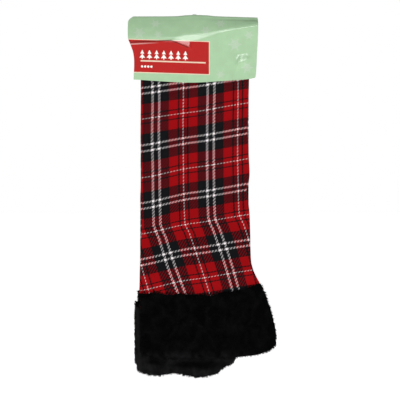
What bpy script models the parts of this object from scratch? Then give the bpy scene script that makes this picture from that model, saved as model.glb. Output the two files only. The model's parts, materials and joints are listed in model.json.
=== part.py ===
"""A round tartan tree skirt with a plush border, folded into a narrow pack and hung in a card header.

The pack hangs along -Z from the crease of the header. Its front faces -Y and +X is to the right of
the front. The origin is the middle of the crease, where the pack is held. Lengths are in metres.
"""

import math
import random

import bmesh
import bpy
from mathutils import Matrix, Vector

# ---- driving dimensions -----------------------------------------------------------------------
# The skirt, before it is folded
HEM_RADIUS = 0.6095          # a 48 in skirt, 1219 mm across
HOLE_RADIUS = 0.0625         # the trunk hole, 125 mm across
BORDER_DEPTH = 0.102         # the plush border, 4 in deep

# The folded pack
LEAVES = 8                   # folded leaves, each two plies of cloth
CLOTH_THICKNESS = 0.0011     # one leaf of cloth, pressed flat
PLUSH_THICKNESS = 0.0064     # one leaf of the plush border
PACK_LEFT = -0.087           # the pack's side folds
PACK_RIGHT = 0.088
LEFT_SPREAD = 0.002          # how far the left side spreads out above the border
FLARE = 0.018                # how far the right side spreads out above the border
FLARE_START = 0.375          # how far down that spread starts
HEM_TILT = 0.041             # the hem climbs to the right by this share of its width
HEM_CURVE_RADIUS = 0.33      # and curls up at both ends

# The card header
CARD_THICKNESS = 0.0006
CARD_LEFT = -0.108
CARD_RIGHT = 0.103
CARD_DROP = 0.107            # from the crease to the lower edge
CARD_STEP = 0.010            # the front flap is this much narrower at its lower left
CARD_STEP_TOP = 0.041
CARD_STEP_END = 0.070
CARD_RIGHT_TAPER = 0.004
CARD_CORNER = 0.005          # corner radius

# The tag pin that holds the card on the cloth
PIN_BAR_LENGTH = 0.0064
PIN_BAR_RADIUS = 0.0006
PIN_THREAD_RADIUS = 0.0003
PIN_DROP = 0.024             # how far its thread goes down inside the pack
PIN_FOOT = (0.010, 0.0008, 0.003)

# Hidden trimmings
BINDING_DEPTH = 0.008        # tape around the trunk hole
TIE_SIZE = (0.010, 0.0006, 0.130)
CARE_LABEL_SIZE = (0.025, 0.0004, 0.045)

# ---- clearances ----------------------------------------------------------------------------
TOUCH_GAP = 0.0003           # between pieces that touch
MIDDLE_GAP = 0.0016          # between the two middle leaves, where the pin's thread runs
PIN_HOLE_CLEARANCE = 0.0003
CREASE_GAP = 0.0005          # on each side of a flap's fold line
SWING_DROP = 0.003           # the pack bends this far below the card
SWING_CLEARANCE = 0.005      # room above that bend for the leaves' ends to turn

# ---- sizes that follow --------------------------------------------------------------------
PACK_MIDDLE = (PACK_LEFT + PACK_RIGHT) / 2
LEAF_PITCH = CLOTH_THICKNESS + TOUCH_GAP
BORDER_PITCH = PLUSH_THICKNESS + TOUCH_GAP
STACK_HALF = (LEAVES // 2) * LEAF_PITCH - TOUCH_GAP + MIDDLE_GAP / 2
CARD_INNER = STACK_HALF + TOUCH_GAP
CARD_MIDDLE = CARD_INNER + CARD_THICKNESS / 2
CARD_OUTER = CARD_INNER + CARD_THICKNESS
CREASE_END = -CARD_OUTER                       # the crease's round ends at this height
FLAP_AXIS_Z = CREASE_END - CREASE_GAP
CLOTH_TOP = CREASE_END
SWING_AXIS_Z = -CARD_DROP - SWING_DROP
UPPER_END = SWING_AXIS_Z + SWING_CLEARANCE
FRONT_HEM = CLOTH_TOP - (HEM_RADIUS - HOLE_RADIUS)
SEAM_MIDDLE = FRONT_HEM + BORDER_DEPTH

# How each leaf lies in the pack, front to back: how far its border stands out past the pack on the
# left and on the right, and how far its hem hangs below the front one.
LEAF_LAY = [
    (0.002, 0.039, 0.000),
    (0.011, -0.043, 0.029),
    (0.007, -0.055, 0.021),
    (0.003, 0.030, -0.006),
    (0.000, 0.034, -0.002),
    (0.008, -0.048, 0.024),
    (0.003, 0.028, -0.008),
    (0.005, 0.032, -0.003),
]


# ---- helpers -------------------------------------------------------------------------------
def clear_scene():
    for thing in list(bpy.data.objects):
        bpy.data.objects.remove(thing, do_unlink=True)


def new_collection(name):
    collection = bpy.data.collections.new(name)
    bpy.context.scene.collection.children.link(collection)
    return collection


def new_material(name, colour, roughness):
    material = bpy.data.materials.new(name)
    material.use_nodes = True
    shader = material.node_tree.nodes["Principled BSDF"]
    shader.inputs["Base Color"].default_value = (*colour, 1.0)
    shader.inputs["Roughness"].default_value = roughness
    shader.inputs["Metallic"].default_value = 0.0
    return material


def add_object(name, bm, material, collection, axis=None):
    """A mesh object in world coordinates. Its axis is the empty it turns with, if it moves."""
    mesh = bpy.data.meshes.new(name)
    bm.to_mesh(mesh)
    bm.free()
    mesh.materials.append(material)
    thing = bpy.data.objects.new(name, mesh)
    collection.objects.link(thing)
    if axis is not None:
        thing.parent = axis
        thing.matrix_parent_inverse = Matrix.Translation(axis.location).inverted()
    return thing


def add_axis(name, y, z, collection):
    axis = bpy.data.objects.new(name, None)
    axis.empty_display_type = "SINGLE_ARROW"
    axis.location = (0.0, y, z)
    collection.objects.link(axis)
    return axis


def add_solidify(thing, thickness):
    """Gives a sheet its thickness, half on each side."""
    modifier = thing.modifiers.new("thickness", "SOLIDIFY")
    modifier.thickness = thickness
    modifier.offset = 0.0


def add_bevel(thing, width, segments):
    modifier = thing.modifiers.new("rounded_edge", "BEVEL")
    modifier.width = width
    modifier.segments = segments
    modifier.limit_method = "ANGLE"
    modifier.angle_limit = math.radians(50)


def sheet(place, columns, rows):
    """A grid bent to shape: place(u, v) gives the point for u and v from 0 to 1."""
    bm = bmesh.new()
    bmesh.ops.create_grid(bm, x_segments=columns, y_segments=rows, size=0.5)
    for vert in bm.verts:
        vert.co = place(vert.co.x + 0.5, vert.co.y + 0.5)
    return bm


def box(size, centre):
    bm = bmesh.new()
    bmesh.ops.create_cube(bm, size=1.0, matrix=Matrix.Translation(centre) @ Matrix.Diagonal((*size, 1.0)))
    return bm


def rod(radius, length, matrix):
    bm = bmesh.new()
    bmesh.ops.create_cone(
        bm, cap_ends=True, segments=12, radius1=radius, radius2=radius, depth=length, matrix=matrix
    )
    return bm


def weld(thing, bm, material, collection):
    """Joins another shape to a piece, so that the two are one solid."""
    tool = add_object(f"{thing.name}_addition", bm, material, collection)
    join = thing.modifiers.new("join", "BOOLEAN")
    join.operation = "UNION"
    join.solver = "EXACT"
    join.object = tool
    bpy.context.view_layer.update()
    evaluated = thing.evaluated_get(bpy.context.evaluated_depsgraph_get())
    joined = bpy.data.meshes.new_from_object(evaluated)
    thing.modifiers.remove(join)
    thing.data = joined
    bpy.data.objects.remove(tool)


def cut_pin_hole(thing, z, depth, material, cutters):
    """A round hole for the tag pin's thread, straight down through a piece."""
    radius = PIN_THREAD_RADIUS + PIN_HOLE_CLEARANCE
    hole = rod(radius, depth, Matrix.Translation((0.0, 0.0, z)))
    cutter = add_object(f"{thing.name}_cutter", hole, material, cutters)
    cutter.hide_render = True
    cutter.display_type = "WIRE"
    cut = thing.modifiers.new("pin_hole", "BOOLEAN")
    cut.operation = "DIFFERENCE"
    cut.solver = "EXACT"
    cut.object = cutter


def smoothstep(value):
    t = min(1.0, max(0.0, value))
    return t * t * (3.0 - 2.0 * t)


def mix(a, b, t):
    return a + (b - a) * t


# ---- how the pack is folded --------------------------------------------------------------------
def leaf_y(leaf, pitch):
    """The middle of a leaf, front to back, where the leaves are a pitch apart."""
    from_middle = leaf - (LEAVES - 1) / 2
    return from_middle * pitch + math.copysign((MIDDLE_GAP - TOUCH_GAP) / 2, from_middle)


def fanned_y(leaf, z):
    """The leaves spread from the card's lower edge to the thick border."""
    down = (SWING_AXIS_Z - z) / (SWING_AXIS_Z - SEAM_MIDDLE)
    return leaf_y(leaf, mix(LEAF_PITCH, BORDER_PITCH, smoothstep(down) ** 1.3))


def seam_z(x, leaf):
    """Where the cloth ends and the border begins."""
    drop = LEAF_LAY[leaf][2]
    return SEAM_MIDDLE - drop + HEM_TILT * x + x * x / (2 * HEM_CURVE_RADIUS)


def border_sides(leaf):
    out_left, out_right, _ = LEAF_LAY[leaf]
    return PACK_LEFT - out_left, PACK_RIGHT + out_right


def cloth_sides(leaf, z, wobble):
    """The leaf's left and right folds at a height."""
    down = (SWING_AXIS_Z - z) / (SWING_AXIS_Z - SEAM_MIDDLE)
    spread = smoothstep((-z - FLARE_START) / (-SEAM_MIDDLE - FLARE_START))
    border_right = border_sides(leaf)[1]
    left = PACK_LEFT + wobble - LEFT_SPREAD * smoothstep(down)
    if border_right > PACK_RIGHT:
        return left, PACK_RIGHT - wobble + FLARE * spread
    return left, mix(PACK_RIGHT - wobble, border_right - TOUCH_GAP, smoothstep(down))


# ---- the skirt ---------------------------------------------------------------------------------
def make_upper_leaf(leaf, material, collection):
    """The part of a leaf that is pressed flat inside the card."""
    top = CLOTH_TOP - BINDING_DEPTH - TOUCH_GAP
    size = (PACK_RIGHT - PACK_LEFT, CLOTH_THICKNESS, top - UPPER_END)
    centre = Vector((PACK_MIDDLE, leaf_y(leaf, LEAF_PITCH), (top + UPPER_END) / 2))
    return add_object(f"upper_leaf_{leaf + 1}", box(size, centre), material, collection)


def make_hole_binding(material, collection, cutters):
    """Tape around the trunk hole: folded with the cloth, it is one thick strip along the leaves' tops."""
    size = (PACK_RIGHT - PACK_LEFT, 2 * STACK_HALF, BINDING_DEPTH)
    centre = Vector((PACK_MIDDLE, 0.0, CLOTH_TOP - BINDING_DEPTH / 2))
    binding = add_object("hole_binding", box(size, centre), material, collection)
    cut_pin_hole(binding, centre.z, 2 * BINDING_DEPTH, material, cutters)
    return binding


def make_cloth_leaf(leaf, wobble, material, collection, axis):
    """The part of a leaf that hangs below the card, down to the border's seam."""

    def place(u, v):
        x_at_seam = mix(*cloth_sides(leaf, SEAM_MIDDLE, wobble), u)
        bottom = seam_z(x_at_seam, leaf) + TOUCH_GAP
        z = mix(bottom, SWING_AXIS_Z, v)
        left, right = cloth_sides(leaf, z, wobble)
        return Vector((mix(left, right, u), fanned_y(leaf, z), z))

    thing = add_object(f"cloth_leaf_{leaf + 1}", sheet(place, 5, 12), material, collection, axis)
    add_solidify(thing, CLOTH_THICKNESS)
    return thing


def make_plush_leaf(leaf, material, collection, axis):
    """A folded length of the plush border."""
    left, right = border_sides(leaf)
    side_slope = FLARE if right > PACK_RIGHT else 0.0

    def place(u, v):
        x = mix(left, right - side_slope * v, u)
        z = seam_z(x, leaf) - BORDER_DEPTH * (1.0 - v)
        return Vector((x, leaf_y(leaf, BORDER_PITCH), z))

    thing = add_object(f"plush_leaf_{leaf + 1}", sheet(place, 8, 3), material, collection, axis)
    add_solidify(thing, PLUSH_THICKNESS)
    add_bevel(thing, PLUSH_THICKNESS * 0.3, 2)
    return thing


def make_ties(material, collection, axis):
    """Two pairs of ribbons that close the slit, lying between the two middle leaves."""
    spacing = TIE_SIZE[0] * 1.4
    first_x = PACK_LEFT + 0.020
    first_z = SWING_AXIS_Z - 0.030
    for pair in range(2):
        for side in range(2):
            z = first_z - TIE_SIZE[2] / 2 - pair * (TIE_SIZE[2] + 0.012)
            centre = Vector((first_x + side * spacing, 0.0, z))
            name = f"tie_{('upper', 'lower')[pair]}_{('left', 'right')[side]}"
            add_object(name, box(TIE_SIZE, centre), material, collection, axis)


def make_care_label(material, collection, axis):
    centre = Vector((PACK_LEFT + 0.085, 0.0, SEAM_MIDDLE + 0.035))
    return add_object("care_label", box(CARE_LABEL_SIZE, centre), material, collection, axis)


# ---- the card header ---------------------------------------------------------------------------
def make_crease(material, collection, cutters):
    """The round fold at the top of the card, with a hole for the tag pin's thread."""

    def place(u, v):
        angle = math.pi * v
        y = -CARD_MIDDLE * math.cos(angle)
        z = CREASE_END + CARD_MIDDLE * math.sin(angle)
        return Vector((mix(CARD_LEFT, CARD_RIGHT, u), y, z))

    crease = add_object("header_crease", sheet(place, 4, 16), material, collection)
    add_solidify(crease, CARD_THICKNESS)

    cut_pin_hole(crease, -CARD_THICKNESS / 2, 10 * CARD_THICKNESS, material, cutters)
    return crease


def flap_outline(step, right_taper):
    """The flap's corners seen from its outside, from its top left, anticlockwise."""
    top = FLAP_AXIS_Z - CREASE_GAP
    lower_left = CARD_LEFT + step
    lower_right = CARD_RIGHT - right_taper
    points = [(CARD_LEFT, top)]
    if step > 0:
        points += [(CARD_LEFT, -CARD_STEP_TOP), (lower_left, -CARD_STEP_END)]
    corners = ((lower_left + CARD_CORNER, math.pi), (lower_right - CARD_CORNER, 1.5 * math.pi))
    for centre_x, start in corners:
        for step_index in range(5):
            angle = start + math.radians(90) * step_index / 4
            points.append((
                centre_x + CARD_CORNER * math.cos(angle),
                -CARD_DROP + CARD_CORNER + CARD_CORNER * math.sin(angle),
            ))
    points.append((CARD_RIGHT, top))
    return points


def make_flap(name, side, outline, material, collection, axis):
    """A flat flap: side is -1 at the front and +1 at the back."""
    bm = bmesh.new()
    verts = [bm.verts.new((x, side * CARD_MIDDLE, z)) for x, z in outline]
    bm.faces.new(verts)
    flap = add_object(name, bm, material, collection, axis)
    add_solidify(flap, CARD_THICKNESS)
    return flap


def make_tag_pin(material, collection):
    """A nylon tag pin: a short bar on the crease, a thread, and a foot turned across inside the pack."""
    bar_z = TOUCH_GAP + PIN_BAR_RADIUS
    lying = Matrix.Rotation(math.pi / 2, 4, "Y")
    bar = rod(PIN_BAR_RADIUS, PIN_BAR_LENGTH, Matrix.Translation((0.0, 0.0, bar_z)) @ lying)
    thread_length = PIN_DROP + bar_z
    thread_place = Matrix.Translation((0.0, 0.0, bar_z - thread_length / 2))
    pin = add_object("tag_pin", bar, material, collection)
    weld(pin, rod(PIN_THREAD_RADIUS, thread_length, thread_place), material, collection)
    weld(pin, box(PIN_FOOT, Vector((0.0, 0.0, -PIN_DROP))), material, collection)
    return pin


def main():
    clear_scene()
    collection = new_collection("folded_tree_skirt")
    cutters = new_collection("cutters")

    card = new_material("glossy_green_card", (0.46, 0.66, 0.43), 0.35)
    nylon = new_material("clear_nylon", (0.80, 0.83, 0.80), 0.30)
    cloth = new_material("tartan_cotton", (0.45, 0.01, 0.02), 0.85)
    plush = new_material("black_plush", (0.006, 0.006, 0.006), 0.95)
    tape = new_material("black_cotton_tape", (0.02, 0.02, 0.02), 0.85)
    ribbon = new_material("red_satin_ribbon", (0.40, 0.01, 0.02), 0.45)
    label = new_material("white_satin_label", (0.85, 0.85, 0.83), 0.55)

    front_axis = add_axis("front_flap_axis", -CARD_MIDDLE, FLAP_AXIS_Z, collection)
    back_axis = add_axis("back_flap_axis", CARD_MIDDLE, FLAP_AXIS_Z, collection)
    swing_axis = add_axis("skirt_swing_axis", 0.0, SWING_AXIS_Z, collection)

    make_crease(card, collection, cutters)
    make_flap(
        "header_front_flap", -1, flap_outline(CARD_STEP, CARD_RIGHT_TAPER), card, collection, front_axis
    )
    make_flap("header_back_flap", 1, flap_outline(0.0, 0.0), card, collection, back_axis)
    make_tag_pin(nylon, collection)

    make_hole_binding(tape, collection, cutters)
    wobble = random.Random(5)
    for leaf in range(LEAVES):
        make_upper_leaf(leaf, cloth, collection)
        shift = 0.0 if leaf == 0 else wobble.uniform(0.0, 0.002)
        make_cloth_leaf(leaf, shift, cloth, collection, swing_axis)
        make_plush_leaf(leaf, plush, collection, swing_axis)
    make_ties(ribbon, collection, swing_axis)
    make_care_label(label, collection, swing_axis)


main()
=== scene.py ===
# %% [markdown]
# A tartan tree skirt, folded for the shop
#
# The real object is one round cloth with a plush border. It is folded like a fan into a narrow pack,
# and its top is held in a folded card header. This lesson builds the looks of that pack around a
# plain engineering model, which already says where every leaf, flap and hinge is.

# %% Load the frame
import json
import math
import random

import bmesh
import bpy
from mathutils import Matrix, Vector, noise


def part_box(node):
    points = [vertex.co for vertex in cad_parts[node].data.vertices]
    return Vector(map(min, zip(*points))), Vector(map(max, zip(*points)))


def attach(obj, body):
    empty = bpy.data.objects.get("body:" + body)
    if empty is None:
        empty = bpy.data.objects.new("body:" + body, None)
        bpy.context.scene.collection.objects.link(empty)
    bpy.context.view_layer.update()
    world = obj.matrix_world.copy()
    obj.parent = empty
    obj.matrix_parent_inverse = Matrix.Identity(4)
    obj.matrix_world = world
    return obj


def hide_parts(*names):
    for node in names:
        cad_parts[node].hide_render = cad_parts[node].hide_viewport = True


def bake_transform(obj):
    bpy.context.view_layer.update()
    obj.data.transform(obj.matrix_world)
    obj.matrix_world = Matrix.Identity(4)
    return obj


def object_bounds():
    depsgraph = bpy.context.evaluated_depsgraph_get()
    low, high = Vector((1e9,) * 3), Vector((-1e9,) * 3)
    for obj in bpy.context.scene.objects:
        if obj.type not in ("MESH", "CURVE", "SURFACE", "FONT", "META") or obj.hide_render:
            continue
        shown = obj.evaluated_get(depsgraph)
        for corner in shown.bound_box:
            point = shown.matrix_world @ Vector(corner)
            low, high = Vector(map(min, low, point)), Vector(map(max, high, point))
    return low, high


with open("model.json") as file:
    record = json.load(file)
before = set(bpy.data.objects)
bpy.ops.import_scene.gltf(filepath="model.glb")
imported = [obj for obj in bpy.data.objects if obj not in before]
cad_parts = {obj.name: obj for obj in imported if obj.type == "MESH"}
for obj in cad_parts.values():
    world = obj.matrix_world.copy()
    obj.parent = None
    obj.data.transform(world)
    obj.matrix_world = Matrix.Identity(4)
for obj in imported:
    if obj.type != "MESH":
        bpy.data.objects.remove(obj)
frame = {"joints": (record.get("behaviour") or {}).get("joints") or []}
cad_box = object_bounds()
print("the CAD box:", [tuple(round(x, 4) for x in corner) for corner in cad_box])

# %% [markdown]
# Sizes that everything shares
#
# Lengths are in metres. The leaves are counted from the front, from 0. The frame gives the left side,
# the right side and the lowest point of each one. A millimetre constant keeps small sizes readable.

# %% Shared sizes
MM = 0.001
LEAVES = 8
SWING_Z = frame["joints"][2]["pos_m"][2]          # the cloth bends here, just below the card
BORDER_DEPTH = 0.102
HEM_TILT = 0.041                                  # the hem climbs to the right
HEM_RADIUS_OF_CURVE = 0.33                        # and curls up at both ends
FLARE = 0.018                                     # the right side spreads out above the border
LOWEST_OF_HEM = HEM_TILT ** 2 * HEM_RADIUS_OF_CURVE / 2

upper_boxes = [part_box(f"upper_leaf_{leaf + 1}") for leaf in range(LEAVES)]
cloth_boxes = [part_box(f"cloth_leaf_{leaf + 1}") for leaf in range(LEAVES)]
border_boxes = [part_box(f"plush_leaf_{leaf + 1}") for leaf in range(LEAVES)]
seam_heights = [box[0].z + BORDER_DEPTH + LOWEST_OF_HEM for box in border_boxes]
print("height of each leaf's seam at its middle:", [round(z, 3) for z in seam_heights])


# %% [markdown]
# Fades and curves
#
# Every bend in this lesson is a mix of a few soft shapes. A ramp fades from 0 to 1, a bump swells and
# sinks again, and a curve runs through a few chosen points. Small sums like these could be replaced by
# sculpting, but then a change of size would mean sculpting again.

# %% Fades and curves
def mix(a, b, t):
    return a + (b - a) * t


def smooth(value):
    t = min(1.0, max(0.0, value))
    return t * t * (3.0 - 2.0 * t)


def ramp(value, start, end):
    """0 before start, 1 after end, smooth between."""
    return smooth((value - start) / (end - start))


def bump(x, z, centre_x, centre_z, width, height):
    """A soft round bump, 1 at its centre."""
    return math.exp(-((x - centre_x) / width) ** 2 - ((z - centre_z) / height) ** 2)


def through(points, t):
    """A smooth curve through (t, value) points, level beyond its ends. Each point's slope comes from
    its neighbours, so the curve has no corners."""
    if t <= points[0][0] or t >= points[-1][0]:
        return points[0][1] if t <= points[0][0] else points[-1][1]
    after = next(i for i, point in enumerate(points) if point[0] > t)
    (t0, a), (t1, b) = points[after - 1], points[after]
    t_before, before = points[max(after - 2, 0)]
    t_next, beyond = points[min(after + 1, len(points) - 1)]
    step, s = t1 - t0, (t - t0) / (t1 - t0)
    start_slope, end_slope = (b - before) / (t1 - t_before) * step, (beyond - a) / (t_next - t0) * step
    return (a * (1 + 2 * s) * (1 - s) ** 2 + b * s * s * (3 - 2 * s)
            + start_slope * s * (1 - s) ** 2 - end_slope * s * s * (1 - s))


print("a ramp from 0 to 1, at its quarters:", [round(ramp(t / 4, 0.0, 1.0), 3) for t in range(5)])

# %% [markdown]
# Bent sheets
#
# Cloth, card and plush are all sheets here. Each starts as a flat bmesh grid, and a function bends it:
# it takes a place on the sheet, u across and v down, both from 0 to 1. It returns the point in space and
# the same place's flat coordinates in metres, which go in a UV map named "flat". The printed or woven
# pattern reads that map, so it stays on the cloth when the cloth bends.

# %% Sheet helpers
def link(name, bm, materials):
    """Makes a smooth object from a bmesh, at the origin, and adds it to the scene."""
    mesh = bpy.data.meshes.new(name)
    bm.to_mesh(mesh)
    bm.free()
    piece = bpy.data.objects.new(name, mesh)
    bpy.context.scene.collection.objects.link(piece)
    for material in materials:
        mesh.materials.append(material)
    mesh.shade_smooth()
    return piece


def bent_sheet(name, columns, rows, place, materials, closed=False):
    """A grid bent to shape. A closed one joins its last column to its first, as a tube does."""
    bm = bmesh.new()
    bmesh.ops.create_grid(bm, x_segments=columns, y_segments=rows, size=0.5)
    placed = {vert: place(vert.co.x + 0.5, 0.5 - vert.co.y) for vert in bm.verts}
    uv = bm.loops.layers.uv.new("flat")
    for face in bm.faces:
        for loop in face.loops:
            loop[uv].uv = placed[loop.vert][1]
    for vert, (point, _) in placed.items():
        vert.co = point
    if closed:
        bmesh.ops.remove_doubles(bm, verts=bm.verts, dist=1e-6)
    return link(name, bm, materials)


def thicken(piece, thickness, offset, inner_material=0):
    """Gives a sheet its thickness, inwards from its outer face where offset is -1."""
    solidify = piece.modifiers.new("thickness", "SOLIDIFY")
    solidify.thickness = thickness
    solidify.offset = offset
    solidify.use_even_offset = False
    solidify.material_offset = inner_material
    return piece


# %% [markdown]
# Colours and shader nodes
#
# A colour is written as it looks on screen, as a hex value, and one function turns it to the linear
# numbers that the shader wants. One more function adds a node: it sets the node's options, fills its
# inputs in order, and returns its first output, so a chain of maths reads from the inside out.

# %% Material helpers
def colour(hex_value):
    channels = [int(hex_value[i:i + 2], 16) / 255 for i in (1, 3, 5)]
    linear = [c / 12.92 if c <= 0.04045 else ((c + 0.055) / 1.055) ** 2.4 for c in channels]
    return (*linear, 1.0)


def add(tree, kind, *inputs, sockets=None, **settings):
    """Adds a shader node and returns its first output. An input is a value, a socket or None."""
    node = tree.nodes.new("ShaderNode" + kind)
    for key, value in settings.items():
        setattr(node, key, value)
    wanted = {**dict(enumerate(inputs)), **(sockets or {})}
    for key, value in wanted.items():
        if isinstance(value, bpy.types.NodeSocket):
            tree.links.new(value, node.inputs[key])
        elif value is not None:
            node.inputs[key].default_value = value
    return node.outputs[0]


def new_material(name, **shader_values):
    """A material with a Principled shader. Its fixed values are set on the shader itself."""
    material = bpy.data.materials.new(name)
    material.use_nodes = True
    tree = material.node_tree
    shader = tree.nodes["Principled BSDF"]
    for socket, value in shader_values.items():
        shader.inputs[socket.replace("_", " ")].default_value = value
    return material, tree, shader


def surface_maths(tree, *operations):
    """One short function for each sum that a printed or woven pattern needs."""
    def maths(operation):
        return lambda *values: add(tree, "Math", *values, operation=operation)
    return [maths(operation) for operation in operations]


print("a middle grey on screen, in linear light:", round(colour("#808080")[0], 3))

# %% [markdown]
# The tartan
#
# The cloth is a cotton twill: coloured warp threads run down it and coloured weft threads cross them.
# Both use one sequence of colours, the sett, which reads the same forwards and backwards. Where the
# two meet, the eye sees the warp and the weft in turn along fine diagonals. So the material works out
# the warp's colour from the distance across, the weft's from the distance down, and a diagonal mask
# chooses between them. A picture of tartan would be simpler, but it would blur close up.

# %% The sett
SETT_HALF = 45.0 * MM              # the sett turns back on itself after this much cloth
WARP_SETT = [                      # where each colour starts, in mm from the middle of the black band
    (0.0, "black"), (3.4, "white"), (7.4, "black"), (21.5, "red"),
    (35.9, "black"), (38.8, "red"), (44.1, "white"),
]
WEFT_SETT = [                      # the weft is beaten closer, so its lines are finer
    (0.0, "black"), (3.0, "white"), (6.2, "black"), (21.5, "red"),
    (36.4, "black"), (38.5, "red"), (44.2, "white"),
]
THREAD = 1.30 * MM                 # coarser than the real 0.4 mm, so that the twill shows
YARN = {"black": colour("#0D0F11"), "white": colour("#F6F0F1"), "red": colour("#9E040B")}


def stripes(tree, distance, sett):
    """The colour of the thread at a distance across the sett."""
    folded = add(tree, "Math", distance, SETT_HALF, operation="PINGPONG")
    share = add(tree, "Math", folded, SETT_HALF, operation="DIVIDE")
    band = add(tree, "ValToRGB", share)
    elements = band.node.color_ramp.elements
    band.node.color_ramp.interpolation = "CONSTANT"
    while len(elements) < len(sett):
        elements.new(1.0)
    for element, (start, name) in zip(elements, sett):
        element.position = start * MM / SETT_HALF
        element.color = YARN[name]
    return band


print("tartan sett:", len(WARP_SETT), "bands in", SETT_HALF / MM, "mm, thread", THREAD / MM, "mm")


# %% Weave the tartan
TWILL_REPEAT = 4.0                 # threads, two over and two under
FAR = 1000 * TWILL_REPEAT          # added so that the count of threads is never negative
DARKER_SHARE = 0.55                # crossings look darker than the two yarns side by side


def tartan_material():
    """Woven cotton: matt and a little fuzzy, with warp and weft in turn on its diagonals."""
    material, tree, shader = new_material(
        "woven_tartan_cotton", Roughness=0.88, Sheen_Weight=0.03, Sheen_Roughness=0.5,
        Specular_IOR_Level=0.10,
    )
    plus, times, over, floor, modulo, less = surface_maths(
        tree, "ADD", "MULTIPLY", "DIVIDE", "FLOOR", "MODULO", "LESS_THAN")
    flat = add(tree, "UVMap", uv_map="flat")
    axes = add(tree, "SeparateXYZ", flat).node
    across, down = axes.outputs[0], axes.outputs[1]
    warp, weft = stripes(tree, across, WARP_SETT), stripes(tree, down, WEFT_SETT)

    warp_thread, weft_thread = floor(over(across, THREAD)), floor(over(down, THREAD))
    step = modulo(plus(plus(warp_thread, weft_thread), FAR), TWILL_REPEAT)
    weft_on_top = less(step, 1.5)
    woven = add(tree, "Mix", sockets={0: weft_on_top, 6: warp, 7: weft}, data_type="RGBA").node.outputs[2]
    # Partly painted shade: at the crossings the darker yarn shows more, and the yarns shade each other.
    shaded = add(
        tree, "Mix", sockets={0: 1.0, 6: warp, 7: weft}, data_type="RGBA", blend_type="DARKEN"
    ).node.outputs[2]
    cloth = add(
        tree, "Mix", sockets={0: DARKER_SHARE, 6: woven, 7: shaded}, data_type="RGBA"
    ).node.outputs[2]

    fibres = add(tree, "TexNoise", flat, None, 900.0, 4.0)
    fade = add(tree, "MapRange", fibres, 0.3, 0.7, 0.86, 1.08)
    tree.links.new(
        add(tree, "VectorMath", cloth, fade, operation="MULTIPLY"), shader.inputs["Base Color"]
    )
    height = plus(times(weft_on_top, 0.5), times(fibres, 0.6))
    relief = add(tree, "Bump", sockets={"Strength": 0.35, "Distance": 0.25 * MM, "Height": height})
    tree.links.new(relief, shader.inputs["Normal"])
    return material


tartan = tartan_material()
print("nodes in the tartan:", len(tartan.node_tree.nodes))


# %% [markdown]
# How the leaves lie
#
# The folded cloth is a stack of leaves. The card's top fold squeezes them to a wedge. Lower down they
# spread, because the plush border at their lower ends is much thicker than the cloth. All the leaves
# share one set of slow waves, so that a stack of thin sheets can ripple without passing through itself.

# %% Where each leaf is
BORDER_PITCH = 6.7 * MM            # between leaves, at the border
MIDDLE_GAP = 1.3 * MM              # the ribbon ties and the label lie in this one
CARD_SWELL = 8.8 * MM
SWELL_DEPTH = 52 * MM


def card_rise(drop):
    """How far a bent card stands from the pack's middle, this far below its crease."""
    return CARD_SWELL * math.sqrt(math.sin(min(1.0, max(0.0, drop) / SWELL_DEPTH) * math.pi / 2))


def leaf_pitch(z):
    inside = (card_rise(max(-z, 6 * MM)) - 1.7 * MM) / 4.2
    down = (SWING_Z - z) / (SWING_Z - seam_heights[0])
    return mix(inside, BORDER_PITCH, smooth(down) ** 1.3)


def stack_y(steps, z):
    """A distance in leaves from the middle of the stack, as a place front to back."""
    return steps * leaf_pitch(z) + math.copysign(MIDDLE_GAP / 2, steps)


def waves(x, z):
    """The slow ripples that the whole stack shares."""
    free = ramp(-z, 0.115, 0.20)
    ripple = noise.noise(Vector((x * 14, 3.1, z * 5))) * 2.2 * MM
    lean = noise.noise(Vector((x * 5, 8.7, z * 3))) * 2.0 * MM
    return (ripple + lean) * free


print("stack half-thickness in mm:", [round(stack_y(3.7, z) / MM, 1) for z in (-0.01, -0.05, -0.2, -0.4)])


# %% [markdown]
# The outline of each leaf
#
# The foremost leaf is the one that is seen, so its sides and its seam are drawn as curves through a few
# measured points: (drop below the crease, distance from the middle), in millimetres. The leaves behind
# it take their sides from the frame, and a seam that climbs to the right and curls up at both ends.

# %% Outlines
FRONT_LEFT = [(107, -86.5), (200, -87.2), (250, -85.8), (300, -87.4), (345, -85.2), (380, -87.0),
              (450, -88.6)]
FRONT_RIGHT = [(107, 88.2), (150, 87.2), (190, 86.4), (230, 87.8), (256, 88.9), (272, 87.4), (285, 84.0),
               (300, 86.4), (322, 88.7), (359, 89.9), (398, 91.1), (412, 94.6), (423, 99.6), (434, 105.4),
               (445, 107.5)]
FRONT_SEAM = [(-96, 443.8), (-87, 445.4), (-40, 449.2), (9, 451.2), (49, 447.4), (74, 443.0), (104, 434.5)]


def seam_z(x, leaf):
    front = -through(FRONT_SEAM, x / MM) * MM
    if leaf == 0:
        return front
    return min(front - 2.5 * MM, seam_heights[leaf] + HEM_TILT * x + x * x / (2 * HEM_RADIUS_OF_CURVE))


def leaf_sides(leaf, z):
    """The left and right folds of a cloth leaf at a height."""
    (top_left, top_right), (low, high) = upper_boxes[leaf], cloth_boxes[leaf]
    if leaf == 0 and z < -0.100:
        return through(FRONT_LEFT, -z / MM) * MM, through(FRONT_RIGHT, -z / MM) * MM
    down = ramp(SWING_Z - z, 0.0, SWING_Z - seam_heights[0])
    drift = noise.noise(Vector((leaf * 7.3, 1.0, z * 9))) * 1.3 * MM
    left = mix(top_left.x, low.x, down) + abs(drift)
    if high.x > top_right.x + 5 * MM:
        right = mix(top_right.x, high.x, ramp(-z, 0.375, -seam_heights[0]))
    else:
        right = mix(top_right.x, border_boxes[leaf][1].x, down)
    return left, right - abs(drift)


print("sides of the front leaf, 250 mm down:", [round(x / MM, 1) for x in leaf_sides(0, -0.250)])


# %% [markdown]
# How the tartan runs over the front
#
# The weft climbs to the right, because the cloth is folded a little off its grain. The warp hangs
# straight to about two thirds of the way, where the cloth is creased, and below that it leans.

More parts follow.
